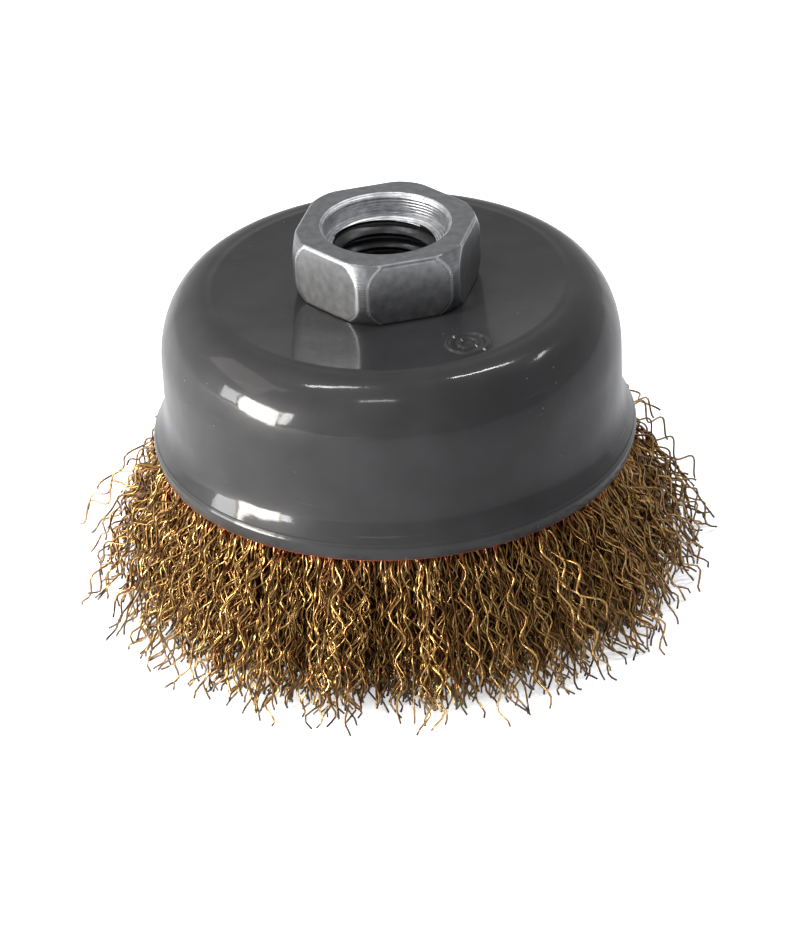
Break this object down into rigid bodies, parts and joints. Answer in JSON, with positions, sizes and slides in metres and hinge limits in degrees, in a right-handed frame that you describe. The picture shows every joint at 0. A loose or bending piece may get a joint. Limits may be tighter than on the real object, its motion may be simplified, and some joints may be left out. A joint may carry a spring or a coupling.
{
  "type": "wire cup brush",
  "caption": "Wire cup brush: drawn steel cup, hexagon spindle nut and a splayed ring of crimped brass-coated wire, for cleaning metal on a hand grinder.",
  "frame": {"origin": "centre of the trimmed brush face, on the spindle axis", "axes": "+Z along the spindle axis, from the brush face out through the nut; the front faces -Y"},
  "size_m": [0.084, 0.084, 0.0507],
  "materials": {
    "cup_enamel": "glossy grey enamel",
    "zinc_plated_nut": "satin zinc plate",
    "plain_steel": "plain pressed steel",
    "brass_coated_wire": "drawn brass-coated steel wire"
  },
  "bodies": {
    "root": {"cup_shell": "cup_enamel", "spindle_nut": "zinc_plated_nut", "clamp_plate": "plain_steel", "holding_ring": "plain_steel", "outer_wires": "brass_coated_wire", "inner_wires": "brass_coated_wire"}
  },
  "joints": []
}
